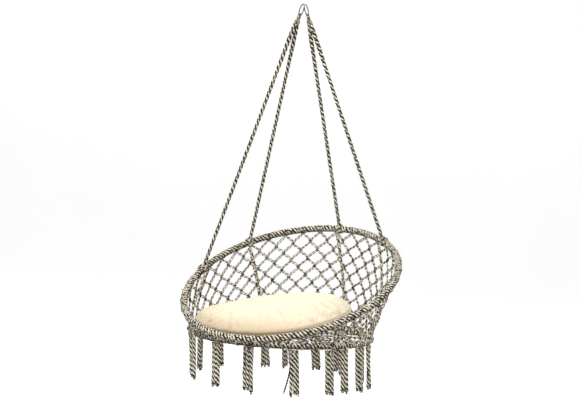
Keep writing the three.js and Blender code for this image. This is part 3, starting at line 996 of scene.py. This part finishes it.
def puff_up(cushion):
    """Blows the cover up over its sewn edge, so that the loose cotton puckers towards the seam."""
    remesh = cushion.modifiers.new("remesh", "REMESH")
    remesh.mode = "VOXEL"
    remesh.voxel_size = 0.0055
    apply_modifier(cushion, remesh)
    start = np.array([v.co for v in cushion.data.vertices])
    away = np.hypot(start[:, 0], start[:, 1])
    seam = cushion.vertex_groups.new(name="seam")
    seam.add([int(i) for i in np.nonzero(away > CUSHION_RADIUS * 0.955)[0]], 1.0, "REPLACE")
    cloth = cushion.modifiers.new("cloth", "CLOTH")
    rules = cloth.settings
    rules.quality = 6
    rules.mass = 0.25
    rules.tension_stiffness = 18
    rules.compression_stiffness = 18
    rules.bending_stiffness = 0.25
    rules.use_pressure = True
    rules.uniform_pressure_force = 4.5
    rules.shrink_min = -0.06
    rules.vertex_group_mass = "seam"
    rules.effector_weights.gravity = 0
    cloth.collision_settings.use_self_collision = False
    scene = bpy.context.scene
    for step in range(1, 21):
        scene.frame_set(step)
    posed = cushion.evaluated_get(bpy.context.evaluated_depsgraph_get())
    moved = np.array([v.co for v in posed.data.vertices]) - start
    cushion.modifiers.remove(cloth)
    scene.frame_set(1)
    far = np.linalg.norm(moved, axis=1)
    capped = moved * np.minimum(1, PUFF_LIMIT / np.maximum(far, 1e-9))[:, None]
    cushion.data.vertices.foreach_set("co", (start + capped).ravel())


def fold_heights(away, angle, upper, chance, count, rules):
    """Folds that run in from the sewn edge: (narrowest, widest) in radians, (shortest, longest)
    share of the radius, (lowest, tallest) in metres."""
    widths, reaches, heights = rules
    lift = np.zeros(len(away))
    for _ in range(count):
        centre, width = chance.uniform(-math.pi, math.pi), chance.uniform(*widths)
        inner, tall = 0.97 - chance.uniform(*reaches), chance.uniform(*heights)
        bend = chance.uniform(-0.9, 0.9)
        off = (angle - centre - bend * (0.97 - away) + math.pi) % math.tau - math.pi
        rise = np.clip((away - inner) / (0.97 - inner), 0, 1) ** 0.7
        reach = rise * np.clip((1.0 - away) / 0.07, 0, 1)
        side = upper if chance.random() < 0.5 else 1 - upper
        ridge = np.exp(-((off / width) ** 2)) - 0.6 * np.exp(-(((off - 1.9 * width) / width) ** 2))
        lift += tall * reach * ridge * side
    return lift


def crumple(cushion, chance):
    """Puckers pulled out of the sewn edge, and the longer folds of a cover sat in."""
    count = len(cushion.data.vertices)
    points = np.empty(count * 3)
    cushion.data.vertices.foreach_get("co", points)
    points = points.reshape(-1, 3)
    away = np.hypot(points[:, 0], points[:, 1]) / CUSHION_RADIUS
    angle = np.arctan2(points[:, 1], points[:, 0])
    upper = np.clip(0.5 + (points[:, 2] + droop(points[:, 1])) / 0.012, 0, 1)
    lift = fold_heights(away, angle, upper, chance, 120, PUCKERS)
    lift += fold_heights(away, angle, upper, chance, 40, LONG_FOLDS)
    outward = points / np.array((6.0, 6.0, 1.0))
    outward = outward / np.maximum(np.linalg.norm(outward, axis=1), 1e-9)[:, None]
    points = points + outward * lift[:, None]
    cushion.data.vertices.foreach_set("co", points.ravel())
    cushion.data.update()


def edge_seam(cushion, material):
    """The sewn edge: a narrow rolled seam that follows the cover all the way round."""
    points = np.array([v.co for v in cushion.data.vertices])
    angle = np.arctan2(points[:, 1], points[:, 0])
    away = np.hypot(points[:, 0], points[:, 1])
    path = []
    for i in range(220):
        turn = math.tau * i / 220 - math.pi
        near = np.abs((angle - turn + math.pi) % math.tau - math.pi) < 0.022
        rim = points[near][np.argsort(away[near])[-6:]].mean(axis=0)
        reach = math.hypot(rim[0], rim[1]) + 0.0012
        path.append((reach * math.cos(turn), reach * math.sin(turn), rim[2]))
    path = np.array(path)
    for _ in range(2):
        path = (np.roll(path, 1, 0) + 2 * path + np.roll(path, -1, 0)) / 4
    seam = Cords()
    seam.sweep(path, 0.0019 + 0.0003 * np.sin(np.arange(220) * 2.2), 8, True)
    made = seam.piece("cushion_edge_seam", material, "cushion")
    made.data.transform(cushion_place())
    return made


def cushion_place():
    turn = Matrix.Rotation(math.radians(-CUSHION_LEAN), 4, "Y")
    return Matrix.Translation(CUSHION_CENTRE) @ turn


def make_cushion(material):
    mesh = lens_mesh()
    cushion = bpy.data.objects.new("cushion_cover", mesh)
    bpy.context.scene.collection.objects.link(cushion)
    puff_up(cushion)
    smooth = cushion.modifiers.new("finer", "SUBSURF")
    smooth.levels = smooth.render_levels = 1
    apply_modifier(cushion, smooth)
    crumple(cushion, random.Random(21))
    edge_seam(cushion, material)
    cushion.data.transform(cushion_place())
    cushion.data.materials.clear()
    cushion.data.materials.append(material)
    cushion.data.shade_smooth()
    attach(cushion, "cushion")
    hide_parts("cushion_cover_top", "cushion_cover_bottom", "cushion_filling")
    return cushion


def main():
    make_camera()
    make_studio()
    make_backdrop(plaster_material())
    group = make_twist_group()
    rope = cord_material("rope_plies", group, 0.016, 0.52, 1.6)
    wrap = cord_material("hoop_wrap_cord", group, 0.016, 0.54, 4.2)
    net = cord_material("net_cord", group, 0.017, 0.62, 1.6)
    tassel = cord_material("tassel_cord", group, 0.015, 0.53, 1.6)
    steel = steel_material("dark_steel", (0.13, 0.135, 0.125), 0.3)
    tube = steel_material("tube_steel", (0.40, 0.41, 0.42), 0.4)
    finishes = {
        "steel_ring_left": steel,
        "steel_ring_right": steel,
        "large_hoop_tube": tube,
        "seat_hoop_tube": tube,
    }
    for name, finish in finishes.items():
        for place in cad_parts[name].material_slots:
            place.material = finish
    wrap_hoop("large_hoop_wrap", LARGE, 63, wrap, "chair", net_knots(LARGE, SEAT))
    wrap_hoop("seat_hoop_wrap", SEAT, 52, wrap, "chair", net_knots(SEAT, LARGE))
    for word, side in (("left", -1), ("right", 1)):
        head_piece(word, side, rope)
        rope_piece(f"front_{word}", side, rope)
        rope_piece(f"back_{word}", side, rope)
    for place in ROPE_ANGLES:
        hitch_piece(place, rope)
        sinnet_piece(place, tassel)
    for index in range(NET_PANELS):
        net_piece(index, net)
    seat_piece(net)
    for index in range(len(TASSEL_ANGLES)):
        tassel_piece(index, tassel)
    make_cushion(cotton_material())


main()
